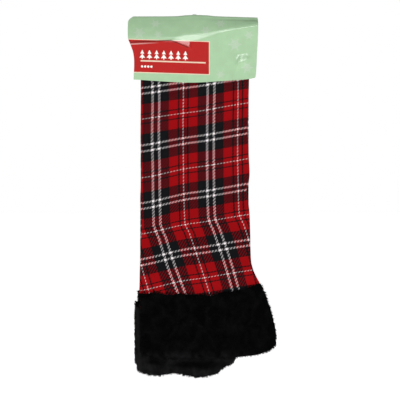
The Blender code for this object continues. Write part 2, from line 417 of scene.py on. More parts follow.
# %% Pattern directions
BLACK_BAND_X = -62.4 * MM          # the middle of a black band, on the left of the front
BLACK_BAND_DROP = 211.5 * MM       # the middle of a black band, below the crease, at the left side
LEFT_SIDE = -72 * MM
CREASE_SLOPE = 0.17


def crease_drop(x):
    """The crease across the cloth, where the warp starts to lean."""
    return 0.341 - CREASE_SLOPE * (x + 0.070)


def warp_distance(x, z):
    """How far across the cloth a place on the front is, from the middle of a black band."""
    below = max(0.0, -z - crease_drop(x))
    lean = mix(0.285, 0.345, ramp(x, -0.070, -0.020)) - 0.40 * (x + 0.060) * ramp(x, -0.06, 0.05)
    lean *= below * ramp(below, -0.006, 0.024)
    drift = 2.3 * MM * ramp(-z, 0.230, 0.345) + 1.6 * MM * ramp(below, 0.0, 0.008) * ramp(-x, 0.02, 0.06)
    wobble = noise.noise(Vector((x * 11, 2.0, z * 12))) * 1.7 * MM
    return 1.018 * (x - BLACK_BAND_X - lean - drift) + wobble


def weft_distance(x, z):
    """How far down the cloth a place on the front is, from the middle of a black band."""
    across = x - LEFT_SIDE
    wobble = noise.noise(Vector((x * 14, 5.0, z * 9))) * 1.8 * MM
    sag = 7.0 * MM * ramp(-x, 0.005, 0.100) * ramp(-z, 0.080, 0.320)
    return -z - BLACK_BAND_DROP + 0.120 * across + 0.19 * across ** 2 + wobble - sag


print("the crease, from left to right:", [round(crease_drop(x) / MM) for x in (-0.085, 0.0, 0.085)])


# %% [markdown]
# One folded leaf
#
# On the real skirt a leaf is two plies of cloth joined by a fold at each side. It is made as a
# flattened tube: the grid runs along the front ply, round the right fold, back along the rear ply and
# round the left fold. That gives soft round folds at the sides, which two flat sheets would not have.

# %% Round a leaf
FOLD_SHARE = 0.06                  # the share of a tube's columns that goes round each fold
FILL = 0.44                        # a leaf's half-thickness, as a share of the pitch between leaves


def round_the_leaf(u):
    """A place round the tube: how far across (0 left, 1 right), which ply (-1 front, 1 rear), and how
    far outwards (0 on a ply, 1 at the tip of a fold)."""
    ply = 0.5 - FOLD_SHARE
    if u <= ply:
        return u / ply, -1.0, 0.0
    if u <= 0.5:
        angle = math.pi * (u - ply) / FOLD_SHARE
        return 1.0, -math.cos(angle), math.sin(angle)
    if u <= 0.5 + ply:
        return 1.0 - (u - 0.5) / ply, 1.0, 0.0
    angle = math.pi * (u - 0.5 - ply) / FOLD_SHARE
    return 0.0, math.cos(angle), -math.sin(angle)


print("a quarter of the way round a leaf:", [round(n, 2) for n in round_the_leaf(0.25)])

# %% Creases of the front
TOP_EDGE = [(-108, 2.4), (-30, 2.0), (-14, 0.5), (2, 0.0), (20, 0.6), (34, 2.0), (70, 3.2), (103, 4.2)]


def crease_sag(x):
    """How far the card's crease sags below its highest place, which is over the pin."""
    return through(TOP_EDGE, x / MM) * MM


def front_relief(x, z):
    """The creases of the foremost ply, towards the viewer where negative."""
    kink = -2.0 * MM * bump(x, z, -0.078, -0.352, 0.020, 0.006)
    tuck = 1.6 * MM * bump(x, z, -0.070, -0.343, 0.026, 0.003)
    across_crease = (-z - crease_drop(x)) / 0.010
    crease = -1.5 * MM * math.exp(-abs(across_crease) ** 1.3)
    crease += 1.0 * MM * bump(0, z, 0, -crease_drop(x) - 0.016, 1, 0.012)
    gathers = 1.1 * MM * math.sin(x * 190 + 3 * noise.noise(Vector((x * 18, 0.0, 4.0))))
    near_seam = ramp(-z, 0.400, 0.446)
    pulled = -1.8 * MM * bump(x, z, 0.083, -0.418, 0.010, 0.014)
    belly = -2.0 * MM * bump(x, z, 0.01, -0.25, 0.06, 0.10)
    return kink + tuck + crease + gathers * near_seam + pulled + belly


print("the front bulges by", round(-front_relief(0.01, -0.25) / MM, 1), "mm at its middle")

# %% Make the cloth leaves
TOP_OF_CLOTH = -6.5 * MM
TUCKED = 4 * MM                    # of cloth, inside the plush
LEAF_TO_LEAF = 37 * MM             # each leaf shows another part of the pattern


def cloth_leaf(leaf, columns, rows):
    """One leaf of tartan, from the tape at its top to just inside the border at its lower end."""
    steps = leaf - (LEAVES - 1) / 2
    shift = LEAF_TO_LEAF * leaf

    def place(u, v):
        across, side, out = round_the_leaf(u)
        left, right = leaf_sides(leaf, seam_heights[leaf])
        bottom = seam_z(mix(left, right, across), leaf) - TUCKED
        z = mix(TOP_OF_CLOTH - crease_sag(mix(left, right, across)), bottom, v)
        left, right = leaf_sides(leaf, z)
        radius = leaf_pitch(z) * FILL
        x = mix(left + radius, right - radius, across) + out * radius
        closing = 1.0 - 0.80 * ramp(bottom - z, -0.030, -0.004)
        y = stack_y(steps, z) + side * radius * closing + waves(x, z)
        if leaf == 0 and side < 0:
            y += front_relief(x, z) * ramp(-z, 0.115, 0.15) * closing
        return Vector((x, y, z)), (warp_distance(x, z) + shift, weft_distance(x, z) + 1.7 * shift)

    piece = bent_sheet(f"tartan_leaf_{leaf + 1}", columns, rows, place, [tartan], closed=True)
    return thicken(piece, 0.35 * MM, -1.0)


cloth_leaves = []
for leaf in range(LEAVES):
    seen = leaf in (0, LEAVES - 1)
    piece = cloth_leaf(leaf, 150 if seen else 80, 220 if seen else 100)
    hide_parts(f"upper_leaf_{leaf + 1}", f"cloth_leaf_{leaf + 1}")
    cloth_leaves.append(piece)
print("cloth leaves:", len(cloth_leaves), "faces in the first:", len(cloth_leaves[0].data.polygons))


# %% [markdown]
# The tape round the trunk hole
#
# A black tape binds the edge of the hole. When the skirt is folded, that edge becomes the top of the
# pack, so the tape is gathered into the card's fold. It is one wedge-shaped tube over the top of every
# leaf, with a groove where each two leaves meet.

# %% Tape, ribbon and label material
def narrow_weave(name, dark, light, pitch, roughness, sheen):
    """A narrow woven band: fine ribs across it, a little uneven in tone."""
    material, tree, shader = new_material(
        name, Roughness=roughness, Sheen_Weight=sheen, Sheen_Roughness=0.4)
    flat = add(tree, "UVMap", uv_map="flat")
    down = add(tree, "SeparateXYZ", flat).node.outputs[1]
    rib = add(tree, "Math", down, pitch / 2, operation="PINGPONG")
    rib = add(tree, "Math", rib, pitch / 2, operation="DIVIDE")
    uneven = add(tree, "TexNoise", flat, None, 300.0, 3.0)
    blend = add(tree, "Mix", 0.35, None, rib, uneven, data_type="FLOAT")
    tone = add(tree, "ValToRGB", blend)
    tone.node.color_ramp.elements[0].color = colour(dark)
    tone.node.color_ramp.elements[1].color = colour(light)
    tree.links.new(tone, shader.inputs["Base Color"])
    relief = add(tree, "Bump", sockets={"Strength": 0.4, "Distance": 0.15 * MM, "Height": rib})
    tree.links.new(relief, shader.inputs["Normal"])
    return material


cotton_tape = narrow_weave("black_cotton_tape", "#08080A", "#19191B", 0.8 * MM, 0.9, 0.2)
red_satin = narrow_weave("red_satin_ribbon", "#8A0A12", "#BA141E", 0.6 * MM, 0.38, 0.3)
white_satin = narrow_weave("white_satin_label", "#D6D5D0", "#F4F3EF", 0.5 * MM, 0.5, 0.1)
print("woven bands:", [band.name for band in (cotton_tape, red_satin, white_satin)])

# %% Hole tape
def tape_band(columns, rows):
    """The gathered tape: one tube over the tops of all the leaves."""
    left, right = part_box("hole_binding")[0].x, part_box("hole_binding")[1].x

    def place(u, v):
        across, side, out = round_the_leaf(u)
        drop = mix(2.9, 10.5, v) * MM
        half = card_rise(drop) - 1.2 * MM
        grooves = 0.12 * math.cos(side * LEAVES * math.pi)
        x = mix(left + half, right - half, across) + out * half * (0.7 + grooves)
        z = -drop - crease_sag(x)
        pull = noise.noise(Vector((x * 90, 1.0, side))) * 0.12 * MM
        return Vector((x, side * half + pull, z)), (x, z + 0.02 * side)

    piece = bent_sheet("hole_tape", columns, rows, place, [cotton_tape], closed=True)
    return thicken(piece, 0.3 * MM, -1.0)


hole_tape = tape_band(120, 12)
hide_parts("hole_binding")
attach(hole_tape, "header")
print("faces in the tape:", len(hole_tape.data.polygons))


# %% [markdown]
# Ribbon ties and the care label
#
# Two pairs of ribbons close the slit of the opened skirt, and a small woven label is sewn beside it.
# All of them lie flat between the two middle leaves, so they follow the same waves as the stack.

# %% Ties and label
def flat_strip(node, material, thickness):
    """A ribbon or label as long and as wide as its node, between the two middle leaves."""
    low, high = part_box(node)

    def place(u, v):
        z = mix(high.z, low.z, v)
        sway = noise.noise(Vector((low.x * 40, 4.0, z * 22))) * 1.2 * MM * v
        x = mix(low.x, high.x, u) + sway
        return Vector((x, waves(x, z) - thickness / 2, z)), (x, z)

    strip = bent_sheet(node + "_strip", 8, 60, place, [material])
    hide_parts(node)
    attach(strip, "skirt")
    return thicken(strip, thickness, -1.0)


strips = {
    node: flat_strip(node, red_satin, 0.4 * MM)
    for node in ("tie_upper_left", "tie_upper_right", "tie_lower_left", "tie_lower_right")
}
strips["care_label"] = flat_strip("care_label", white_satin, 0.3 * MM)
print("strips between the middle leaves:", sorted(strips))


# %% [markdown]
# The plush
#
# The border is a black polyester plush with a short, dense pile. Pile scatters light at its edges, so
# the middle of the band looks almost black and its rims look grey: that is the shader's sheen, and along
# the front hem a painted highlight. Where a hand has brushed the pile it leans another way, which shows
# as soft paler patches. The pile is about 3 mm long and finer than a hair, so its tufts are drawn about
# 1 mm wide.

# %% Shade in the hollows
LEAF_SHIFT = 0.31                  # between one leaf and the next, in flat coordinates
HOLLOWS = [                        # middle, half-width and half-height, in flat coordinates
    (LEAF_SHIFT - 65 * MM, -559.5 * MM, 13 * MM, 5.5 * MM),
    (LEAF_SHIFT - 14 * MM, -563.0 * MM, 26 * MM, 6.5 * MM),
    (LEAF_SHIFT + 20 * MM, -564.0 * MM, 32 * MM, 8.5 * MM),
]


def hollow(tree, flat, x, z, half_width, half_height):
    """0.25 in an oval hollow, where the pile is in shade, and 1 outside it."""
    offset = add(tree, "VectorMath", flat, (x, z, 0.0), operation="SUBTRACT")
    oval = add(tree, "VectorMath", offset, (1 / half_width, 1 / half_height, 0.0), operation="MULTIPLY")
    away = add(tree, "VectorMath", oval, operation="LENGTH").node.outputs["Value"]
    return add(tree, "MapRange", away, 0.5, 1.25, 0.25, 1.0)


print("hollows in the strip below the front hem:", len(HOLLOWS))


# %% Plush material
def plush_material():
    """Black polyester pile: no gloss, a little sheen, paler where it is brushed, with a painted highlight
    along the front hem.
    """
    material, tree, shader = new_material(
        "black_polyester_plush", Roughness=0.95, Specular_IOR_Level=0.04,
        Sheen_Weight=0.07, Sheen_Roughness=0.45, Sheen_Tint=colour("#7C7C80"),
    )
    flat = add(tree, "UVMap", uv_map="flat")
    lengthwise = add(tree, "VectorMath", flat, (1.0, 0.75, 1.0), operation="MULTIPLY")
    brushed = add(tree, "TexNoise", lengthwise, None, 70.0, 3.5, sockets={"Distortion": 0.6})
    tufts = add(tree, "TexNoise", flat, None, 750.0, 3.0)
    tone = add(tree, "ValToRGB", brushed)
    tone.node.color_ramp.elements[0].position, tone.node.color_ramp.elements[1].position = 0.40, 0.66
    tone.node.color_ramp.elements[0].color = colour("#030303")
    tone.node.color_ramp.elements[1].color = colour("#0D0D0E")

    # Painted highlight: the pile is painted up to three times paler along the front hem, where its rounded
    # rim catches the light. Apart from that, the second leaf is paler in the strip that hangs below the
    # first and along its left fold.
    axes = add(tree, "SeparateXYZ", flat).node
    rim = add(tree, "MapRange", axes.outputs[1], -0.540, -0.552, 1.0, 3.0)
    strip = add(tree, "MapRange", axes.outputs[1], -0.5540, -0.5575, 0.0, 0.0055)
    left_fold = add(
        tree, "MapRange", axes.outputs[0], LEAF_SHIFT - 83 * MM, LEAF_SHIFT - 88 * MM, 0.0, 0.0085)
    behind = add(tree, "Math", axes.outputs[0], LEAF_SHIFT / 2, operation="GREATER_THAN")
    paler = add(tree, "Math", strip, left_fold, operation="ADD")
    lift = add(tree, "Math", paler, behind, operation="MULTIPLY")
    shade = 1.0
    for oval in HOLLOWS:
        shade = add(tree, "Math", shade, hollow(tree, flat, *oval), operation="MULTIPLY")
    # The pile's tone, with the painted highlight on the hem, the paler strip and the painted shade in the
    # hollows.
    plush_tone_and_painted_light = add(tree, "VectorMath", tone, rim, operation="MULTIPLY")
    plush_tone_and_painted_light = add(tree, "VectorMath", plush_tone_and_painted_light, lift, operation="ADD")
    plush_tone_and_painted_light = add(tree, "VectorMath", plush_tone_and_painted_light, shade, operation="MULTIPLY")
    tree.links.new(plush_tone_and_painted_light, shader.inputs["Base Color"])
    relief = add(tree, "Bump", sockets={"Strength": 0.8, "Distance": 1.0 * MM, "Height": tufts})
    tree.links.new(relief, shader.inputs["Normal"])
    return material


plush = plush_material()
print("nodes in the plush:", len(plush.node_tree.nodes))


# %% [markdown]
# The plush leaves
#
# Each leaf of the border is the same kind of flattened tube as the cloth, but thick and soft. The two
# foremost have outlines of their own. Their faces swell a little, with slow hollows where the pack was
# handled, and the second one has a crossed crease in the strip that hangs below the first.

# %% Plush outlines
FRONT_SIDE = [(0.0, 106.8), (0.20, 115.5), (0.45, 123.5), (0.70, 129.3), (1.0, 131.5)]     # (v, mm)
FRONT_HEM = [(-88, 545.6), (-55, 551.5), (-20, 554.0), (38, 552.6), (72, 552.2), (100, 547.6), (132, 539)]
SECOND_HEM = [(-92, 575.0), (-80, 578.8), (-65, 581.4), (-40, 579.2), (-21, 579.6), (7, 584.6), (26, 581.6),
              (38, 577.6), (45, 570.4), (60, 562.0), (68, 553.0)]
LOWER_CORNERS = {0: (7 * MM, 15 * MM), 1: (5 * MM, 12 * MM)}      # left and right radius


def corner_inset(distance, radius):
    """How far a round corner pulls its side in, at a distance from the lower edge."""
    if distance >= radius:
        return 0.0
    return radius - math.sqrt(max(0.0, radius ** 2 - (radius - distance) ** 2))


def plush_outline(leaf, v):
    """The left and right sides of a plush leaf, from its seam (v = 0) to its hem (v = 1)."""
    low, high = border_boxes[leaf]
    from_hem = (1.0 - v) * BORDER_DEPTH
    left_corner, right_corner = LOWER_CORNERS.get(leaf, (8 * MM, 14 * MM))
    wide = high.x > cloth_boxes[leaf][1].x + 5 * MM
    right = high.x - (FLARE * (1.0 - v) if wide else 0.0)
    left = low.x
    if leaf == 0:
        left, right = -86.6 * MM, through(FRONT_SIDE, v) * MM
    if leaf == 1:
        left, right = mix(-94.8, -91.2, v ** 2) * MM, 68 * MM
    return left + corner_inset(from_hem, left_corner), right - corner_inset(from_hem, right_corner)


def hem_z(x, leaf):
    if leaf < 2:
        return -through((FRONT_HEM, SECOND_HEM)[leaf], x / MM) * MM
    return seam_heights[leaf] + HEM_TILT * x + x * x / (2 * HEM_RADIUS_OF_CURVE) - BORDER_DEPTH


print("sides of the front fold, at its middle:", [round(x / MM, 1) for x in plush_outline(0, 0.5)])


# %% Swelling and creases of the plush
def near_line(x, z, x0, z0, x1, z1, width):
    """1 on a line between two points (mm, drop in mm), fading over a width on both sides."""
    start, end = Vector((x0, -z0)) * MM, Vector((x1, -z1)) * MM
    along = end - start
    t = min(1.0, max(0.0, (Vector((x, z)) - start).dot(along) / along.length_squared))
    return math.exp(-((Vector((x, z)) - start - along * t).length / width) ** 2)


def plush_relief(leaf, x, z, across, down, side):
    """How far a plush face swells outwards at a place."""
    belly = 2.4 * MM * math.sin(math.pi * min(1.0, max(0.0, down))) ** 0.6
    belly *= math.sin(math.pi * min(1.0, max(0.0, across))) ** 0.4
    handled = noise.fractal(Vector((x * 38, leaf * 5.0 + side, z * 38)), 1.0, 2.0, 3) * 1.7 * MM
    if leaf == 0 and side < 0:
        for place, width in ((-18, 7), (19, 8), (80, 11)):
            handled -= 1.5 * MM * bump(x, z, place * MM, -0.500, width * MM, 0.045)
    if leaf == 1:
        handled -= 4.5 * MM * bump(x, z, -0.064, -0.559, 0.018, 0.006)
        handled -= 4.5 * MM * bump(x, z, -0.022, -0.565, 0.020, 0.006)
        handled += 3.0 * MM * near_line(x, z, -50, 566, -28, 556, 2.6 * MM)
        handled += 3.0 * MM * near_line(x, z, -56, 558, -38, 569, 2.6 * MM)
    return belly + handled


print("the front fold swells by", round(plush_relief(0, 0.05, -0.50, 0.5, 0.5, -1) / MM, 1), "mm")


# %% Make the plush leaves
def plush_leaf(leaf, columns, rows):
    """One leaf of the border, a soft tube that is closed at its seam and its hem."""
    steps = leaf - (LEAVES - 1) / 2
    outer_side = {0: -1.0, LEAVES - 1: 1.0}.get(leaf, 0.0)

    def place(u, v):
        across, side, out = round_the_leaf(u)
        left, right = plush_outline(leaf, v)
        radius = FILL * BORDER_PITCH
        x = mix(left + radius, right - radius, across) + out * radius
        wander = noise.noise(Vector((x * 45, leaf * 3.0, 0.0))) * 1.5 * MM
        z = mix(seam_z(x, leaf), hem_z(x, leaf) + wander, v)
        full = math.sqrt(min(1.0, v * 11 + 0.12)) * math.sqrt(min(1.0, (1 - v) * 9 + 0.06))
        y = (steps + side * FILL * full) * BORDER_PITCH + math.copysign(MIDDLE_GAP / 2, steps)
        free = 1.0 if side == outer_side else 0.1
        if leaf == 1 and side < 0:
            free = 0.9 * ramp(-z, 0.550, 0.558)
        y += side * plush_relief(leaf, x, z, across, v, side) * free * full
        return Vector((x, y, z)), (x + leaf * LEAF_SHIFT, z + (0.15 if side > 0 else 0.0))

    piece = bent_sheet(f"plush_fold_{leaf + 1}", columns, rows, place, [plush], closed=True)
    return thicken(piece, 2.0 * MM, -1.0)


plush_leaves = []
for leaf in range(LEAVES):
    seen = leaf in (0, 1, LEAVES - 1)
    piece = plush_leaf(leaf, 240 if seen else 120, 84 if seen else 40)
    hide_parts(f"plush_leaf_{leaf + 1}")
    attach(piece, "skirt")
    plush_leaves.append(piece)
print("plush leaves:", len(plush_leaves), "faces in the first:", len(plush_leaves[0].data.polygons))


# %% [markdown]
# The pile
#
# Paint alone leaves plush with a hard outline. The real pile makes it soft, so short tufts stand on the
# faces that can be seen. A tuft is one small three-sided cone. A single cone is doubled again and again
# until there are enough, and then each copy is moved to its own root. Most lean downwards, as brushed
# pile does. A fixed seed makes them fall in the same places each time.

# %% Bare tufts
TUFT_LENGTH, TUFT_RADIUS = 3.0 * MM, 0.50 * MM


def bare_tufts(count):
    """A bmesh with this many cones, all at the origin, and how many vertices each has."""
    bm = bmesh.new()
    bmesh.ops.create_cone(
        bm, cap_ends=True, segments=3, radius1=TUFT_RADIUS, radius2=0.0, depth=TUFT_LENGTH)
    bmesh.ops.remove_doubles(bm, verts=bm.verts, dist=1e-7)
    bmesh.ops.translate(bm, verts=bm.verts, vec=(0, 0, TUFT_LENGTH * 0.3))
    numbered = bpy.data.meshes.new("tuft")
    bm.to_mesh(numbered)           # out and back in, so that its vertices are numbered without gaps
    bm.clear()
    bm.from_mesh(numbered)
    bpy.data.meshes.remove(numbered)
    size = len(bm.verts)
    while len(bm.verts) < count * size:
        bmesh.ops.duplicate(bm, geom=bm.verts[:] + bm.edges[:] + bm.faces[:])
    bm.verts.ensure_lookup_table()
    bmesh.ops.delete(bm, geom=bm.verts[count * size:], context="VERTS")
    bm.verts.ensure_lookup_table()
    return bm, size


print("a tuft is", TUFT_LENGTH / MM, "mm long and", 2 * TUFT_RADIUS / MM, "mm wide at its root")


# %% Pile maker
def at_rim(_, normal):
    """Whether a face turns towards a side of the leaf, or towards the floor."""
    return abs(normal.x) > 0.35 or normal.z < -0.35


def pile(leaf, count, standing):
    """Tufts on a plush leaf, on the faces where standing(centre, normal) is true."""
    leaf_piece = plush_leaves[leaf]
    chance = random.Random(17 + leaf)
    mesh = leaf_piece.data
    spots = [face for face in mesh.polygons if standing(face.center, face.normal)]
    rooms = [face.area for face in spots]
    bm, size = bare_tufts(count)
    roots = []
    for tuft, face in enumerate(chance.choices(spots, weights=rooms, k=count)):
        a, b, c, d = (mesh.vertices[i].co for i in face.vertices)
        root = a.lerp(b, chance.random()).lerp(d.lerp(c, chance.random()), chance.random())
        brush = Vector([noise.noise(root * 45 + Vector((0.0, shift, 0.0))) for shift in (0.0, 11.3, 23.7)])
        upward = ramp(root.z - seam_z(root.x, leaf), -0.007, -0.001)
        scatter = Vector([chance.uniform(-1, 1) for _ in range(3)])
        lean = face.normal * 0.75 + Vector((0, 0, mix(-0.75, 0.6, upward))) + brush * 0.35 + scatter * 0.4
        turn = lean.to_track_quat("Z", "X").to_matrix()
        clump = 0.7 + 0.8 * noise.noise(root * 260)
        at_edge = 1.0 if at_rim(face.center, face.normal) else 0.0
        grown = chance.uniform(0.65, 1.1) + clump * max(at_edge, 0.8 * upward)
        for vert in bm.verts[tuft * size:(tuft + 1) * size]:
            vert.co = root + turn @ (vert.co * grown)
        roots.append(root)
    bm.verts.index_update()
    uv = bm.loops.layers.uv.new("flat")
    for face in bm.faces:
        root = roots[face.verts[0].index // size]
        for loop in face.loops:
            loop[uv].uv = (root.x + leaf * LEAF_SHIFT, root.z)
    piece = link(f"plush_pile_{leaf + 1}", bm, [plush])
    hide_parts(f"plush_leaf_{leaf + 1}")
    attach(piece, "skirt")
    return piece


print("faces of the front fold at its rim:",
      sum(at_rim(face.center, face.normal) for face in plush_leaves[0].data.polygons))

# %% Grow the pile
piles = {
    0: pile(0, 15000, lambda centre, normal: normal.y < 0.3),
    1: pile(1, 6000, lambda centre, normal: at_rim(centre, normal) or (normal.y < 0 and centre.z < -0.545)),
    LEAVES - 1: pile(LEAVES - 1, 13000, lambda centre, normal: normal.y > -0.3),
}
for leaf in range(2, LEAVES - 1):
    piles[leaf] = pile(leaf, 2600, at_rim)
print("tufts:", sum(len(piece.data.polygons) for piece in piles.values()) // 4)


# %% [markdown]
# The printed card
#
# The header is a coated card, printed mint green with faint snowflakes and a red panel, and varnished.
# The print is worked out from flat coordinates, x across and the distance down from the crease. Plain
# signs stand where a shop's words would be: a row of little trees, a rule and a few dots.

# %% Layout and inks of the print
PANEL_LEFT, PANEL_RIGHT = -130 * MM, 23.3 * MM
PANEL_TOP, PANEL_BOTTOM = 41.0 * MM, 92.6 * MM
PRINT_SLOPE = 0.032                # the print runs a little downhill to the right
KEYLINE = 1.3 * MM
TREES = 7
TREES_LEFT, TREES_PITCH, TREES_HEIGHT = -90 * MM, 11.6 * MM, 14.5 * MM
TREES_FOOT = 71.5 * MM
DOTS_LEFT, DOTS_PITCH, DOT_RADIUS = -87 * MM, 5 * MM, 1.8 * MM
DOTS_MIDDLE = 83.5 * MM
FLAKES = [                         # across, drop and radius, in mm
    (-63, 14, 8.5), (-89, 30, 10.0), (18, 26, 8.0), (42, 14, 8.5), (65, 49, 11.0), (85, 86, 9.5),
    (-58, 33, 7.0), (88, 34, 7.5), (42, 97, 7.0),
]
# The last ink, a dark red, paints the shade in the buckle's crease.
INK = {
    "mint": colour("#AED1A8"), "flake": colour("#CBD6C8"), "red": colour("#BA0E08"),
    "cream": colour("#F1D9BE"), "white": colour("#FFFDF6"), "crease shade red": colour("#5A1210"),
}
print("inks:", sorted(INK), "and", len(FLAKES), "snowflakes")


# %% Masks for the print
def between(tree, value, low, high):
    """1 where a value lies between two limits, and 0 elsewhere."""
    times, less, more = surface_maths(tree, "MULTIPLY", "LESS_THAN", "GREATER_THAN")
    return times(more(value, low), less(value, high))


def patch(tree, x, level, left, right, top, bottom):
    """1 inside a rectangle of the print."""
    inside = between(tree, x, left, right)
    return add(tree, "Math", inside, between(tree, level, top, bottom), operation="MULTIPLY")


def paint(tree, base, mask, ink):
    """One ink over what is already printed, where its mask is 1."""
    return add(tree, "Mix", sockets={0: mask, 6: base, 7: INK[ink]}, data_type="RGBA").node.outputs[2]


print("the red panel is", round((PANEL_BOTTOM - PANEL_TOP) / MM, 1), "mm tall")


# %% Snowflakes
def snowflake(tree, flat, across, drop, radius):
    """1 on the arms and the ring of one six-armed flake."""
    times, less, more, absolute, most, arctan, sine = surface_maths(
        tree, "MULTIPLY", "LESS_THAN", "GREATER_THAN", "ABSOLUTE", "MAXIMUM", "ARCTAN2", "SINE")
    offset = add(tree, "VectorMath", flat, (across * MM, drop * MM, 0.0), operation="SUBTRACT")
    away = add(tree, "VectorMath", offset, operation="LENGTH").node.outputs["Value"]
    turn = add(tree, "SeparateXYZ", offset).node
    angle = arctan(turn.outputs[1], turn.outputs[0])
    from_arm = times(absolute(sine(times(angle, 3.0))), away)
    arms = times(less(from_arm, radius * MM * 0.26), less(away, radius * MM))
    ring = times(more(away, radius * MM * 0.38), less(away, radius * MM * 0.62))
    return most(arms, times(ring, less(from_arm, radius * MM * 0.55)))


def snowflakes(tree, flat):
    """All the flakes in one mask."""
    flakes = 0.0
    for flake in FLAKES:
        flakes = add(tree, "Math", flakes, snowflake(tree, flat, *flake), operation="MAXIMUM")
    return flakes


print("the widest flake is", 2 * max(radius for _, _, radius in FLAKES), "mm across")


# %% Trees and dots
def row_of_trees(tree, x, level):
    """1 on a row of little trees. Each has two tiers that narrow upwards, on a short trunk."""
    minus, times, over, less, more, modulo, absolute, most, fract = surface_maths(
        tree, "SUBTRACT", "MULTIPLY", "DIVIDE", "LESS_THAN", "GREATER_THAN", "MODULO", "ABSOLUTE",
        "MAXIMUM", "FRACT")
    row = patch(tree, x, level, TREES_LEFT, TREES_LEFT + TREES * TREES_PITCH,
                TREES_FOOT - TREES_HEIGHT, TREES_FOOT)
    beside = absolute(minus(modulo(minus(x, TREES_LEFT), TREES_PITCH), TREES_PITCH / 2))
    height = over(minus(TREES_FOOT, level), TREES_HEIGHT)
    tier = fract(over(minus(height, 0.14), 0.44))
    narrow = minus(1.0, times(more(height, 0.58), 0.3))
    half_width = times(times(minus(1.0, tier), narrow), 4.6 * MM)
    crown = times(less(beside, half_width), more(height, 0.14))
    trunk = times(less(beside, 0.8 * MM), less(height, 0.15))
    return times(row, most(crown, trunk))


def row_of_dots(tree, x, level):
    """1 on a short row of four dots."""
    plus, minus, times, less, modulo = surface_maths(
        tree, "ADD", "SUBTRACT", "MULTIPLY", "LESS_THAN", "MODULO")
    row = patch(tree, x, level, DOTS_LEFT, DOTS_LEFT + 4 * DOTS_PITCH,
                DOTS_MIDDLE - 3.5 * MM, DOTS_MIDDLE + 3.5 * MM)
    beside = minus(modulo(minus(x, DOTS_LEFT), DOTS_PITCH), DOTS_PITCH / 2)
    above = minus(level, DOTS_MIDDLE)
    return times(row, less(plus(times(beside, beside), times(above, above)), DOT_RADIUS ** 2))


print("the row of trees is", round(TREES * TREES_PITCH / MM, 1), "mm long")

# %% [markdown]
# Painted shade and highlight along the buckle
#
# Where the card buckles sharply, a dark line of painted shade follows the crease, and just below it lies a
# pale line of painted highlight. The mesh has the buckle itself. Such a fine line would need a very dense
# mesh, so it is painted.

# %% Painted shade and highlight along the buckle
LEVEL_BUCKLE = (-0.104, 45.4 * MM, -0.045)        # where it starts, its drop there, and its slope
CLIMBING_BUCKLE = (-0.0375, 42.5 * MM, 0.42)
BUCKLE_END = -0.010


def below_line(tree, x, drop, start, start_drop, slope):
    """How far a place lies below a sloping line of the card."""
    plus, minus, times = surface_maths(tree, "ADD", "SUBTRACT", "MULTIPLY")
    return minus(drop, plus(start_drop, times(plus(x, -start), slope)))


def painted_crease_shade(tree, x, drop):
    """1 on the fine line of painted shade in the crease, along both buckles."""
    times, less, absolute, most = surface_maths(tree, "MULTIPLY", "LESS_THAN", "ABSOLUTE", "MAXIMUM")
    level_line = less(absolute(below_line(tree, x, drop, *LEVEL_BUCKLE)), 1.0 * MM)
    climbing_line = less(absolute(below_line(tree, x, drop, *CLIMBING_BUCKLE)), 0.9 * MM)
    level_line = times(level_line, between(tree, x, LEVEL_BUCKLE[0], CLIMBING_BUCKLE[0]))
    return most(level_line, times(climbing_line, between(tree, x, CLIMBING_BUCKLE[0], BUCKLE_END)))


def painted_highlight_line(tree, x, drop):
    """1 on a pale line of painted highlight 3 mm below the level buckle, fading out to the right."""
    minus, times, less, absolute = surface_maths(tree, "SUBTRACT", "MULTIPLY", "LESS_THAN", "ABSOLUTE")
    line = less(absolute(minus(below_line(tree, x, drop, *LEVEL_BUCKLE), 3.0 * MM)), 1.0 * MM)
    return times(line, add(tree, "MapRange", x, -0.086, -0.056, 1.0, 0.0))


# The painted shade follows the buckle for this length.
print("the broken line runs over", round((BUCKLE_END - LEVEL_BUCKLE[0]) / MM), "mm of the card")


# %% Card materials
def card_material():
    """Coated card: flat inks under a varnish that is glossy but not quite flat."""
    material, tree, shader = new_material(
        "varnished_printed_card", Roughness=0.45, Coat_Weight=0.55, Coat_Roughness=0.15,
        Specular_IOR_Level=0.02,
    )
    plus, minus, times, most = surface_maths(tree, "ADD", "SUBTRACT", "MULTIPLY", "MAXIMUM")
    flat = add(tree, "UVMap", uv_map="flat")
    axes = add(tree, "SeparateXYZ", flat).node
    x, drop = axes.outputs[0], axes.outputs[1]
    level = minus(drop, times(plus(x, 0.105), PRINT_SLOPE))

    keyline = patch(tree, x, level, PANEL_LEFT, PANEL_RIGHT + KEYLINE,
                    PANEL_TOP - KEYLINE, PANEL_BOTTOM + KEYLINE)
    panel = patch(tree, x, level, PANEL_LEFT, PANEL_RIGHT, PANEL_TOP, PANEL_BOTTOM)
    signs = most(row_of_trees(tree, x, level), row_of_dots(tree, x, level))
    rule = patch(tree, x, level, -87 * MM, 18 * MM, 73.4 * MM, 75.6 * MM)
    print_colour = paint(tree, INK["mint"], times(snowflakes(tree, flat), 0.45), "flake")
    print_colour = paint(tree, print_colour, keyline, "cream")
    print_colour = paint(tree, print_colour, panel, "red")
    print_colour = paint(tree, print_colour, signs, "white")
    print_colour = paint(tree, print_colour, rule, "cream")
    # Painted shade: a dark line in the crease of both buckles.
    print_colour = paint(tree, print_colour, times(painted_crease_shade(tree, x, drop), 0.75), "crease shade red")
    # Painted highlight: a pale line just below the level buckle, where the varnish would reflect the lamp.
    print_colour = paint(tree, print_colour, times(painted_highlight_line(tree, x, drop), 0.30), "white")

    mottle = add(tree, "TexNoise", flat, None, 70.0, 4.0)
    uneven = add(tree, "MapRange", mottle, 0.3, 0.7, 0.95, 1.03)
    tree.links.new(
        add(tree, "VectorMath", print_colour, uneven, operation="MULTIPLY"), shader.inputs["Base Color"]
    )
    orange_peel = add(tree, "TexNoise", flat, None, 260.0, 2.0)
    relief = add(tree, "Bump", sockets={"Strength": 0.08, "Distance": 0.4 * MM, "Height": orange_peel})
    tree.links.new(relief, shader.inputs["Normal"])
    return material


